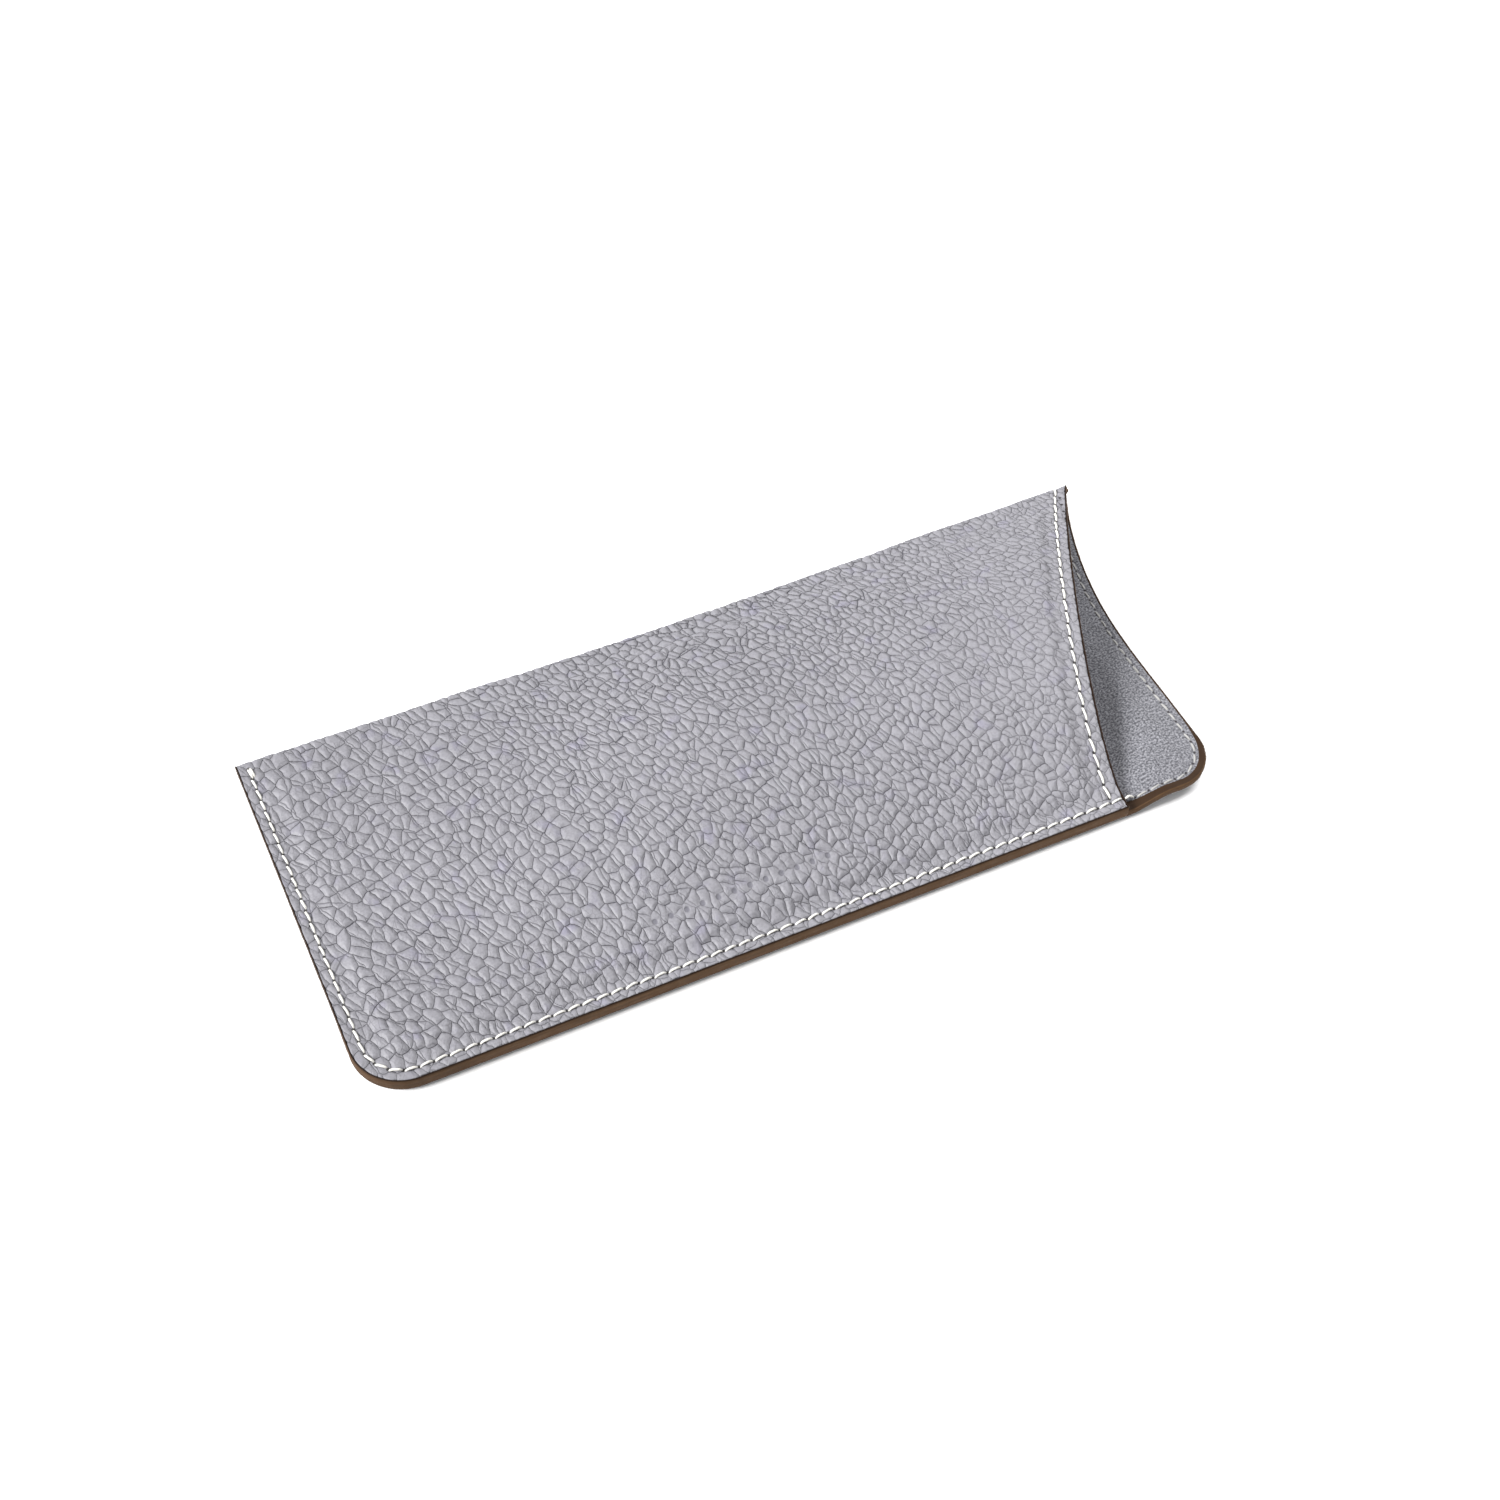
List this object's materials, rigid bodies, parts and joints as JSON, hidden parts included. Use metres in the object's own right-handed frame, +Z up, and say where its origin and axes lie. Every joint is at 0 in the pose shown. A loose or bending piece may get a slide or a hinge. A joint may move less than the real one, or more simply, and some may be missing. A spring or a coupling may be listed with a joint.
{
  "type": "eyeglasses sleeve case",
  "caption": "Slim slip-in leather sleeve for folded eyeglasses, folded along one long edge, sewn round two sides and open at a slanted mouth with a longer back flap.",
  "frame": {"origin": "under the middle of the sleeve's bounding box, on the surface it lies on", "axes": "+X along the length towards the open mouth, +Y across towards the folded long edge, +Z up from the table through the front panel"},
  "size_m": [0.1757, 0.0771, 0.0111],
  "materials": {
    "grained_leather": "pebbled full-grain leather, cool pale grey, satin",
    "suede": "short-nap grey microsuede, matte",
    "board": "thin bonded stiffening board, matte",
    "edge_paint": "dark brown edge paint, domed, satin",
    "thread": "white waxed polyester thread, twisted"
  },
  "bodies": {
    "root": {"outer_leather": "grained_leather", "suede_lining": "suede", "front_board": "board", "back_board": "board", "sewn_edge_paint": "edge_paint", "mouth_edge_paint": "edge_paint", "rim_seam_top_thread": "thread", "rim_seam_under_thread": "thread", "mouth_seam_outer_thread": "thread", "mouth_seam_inner_thread": "thread"}
  },
  "joints": []
}
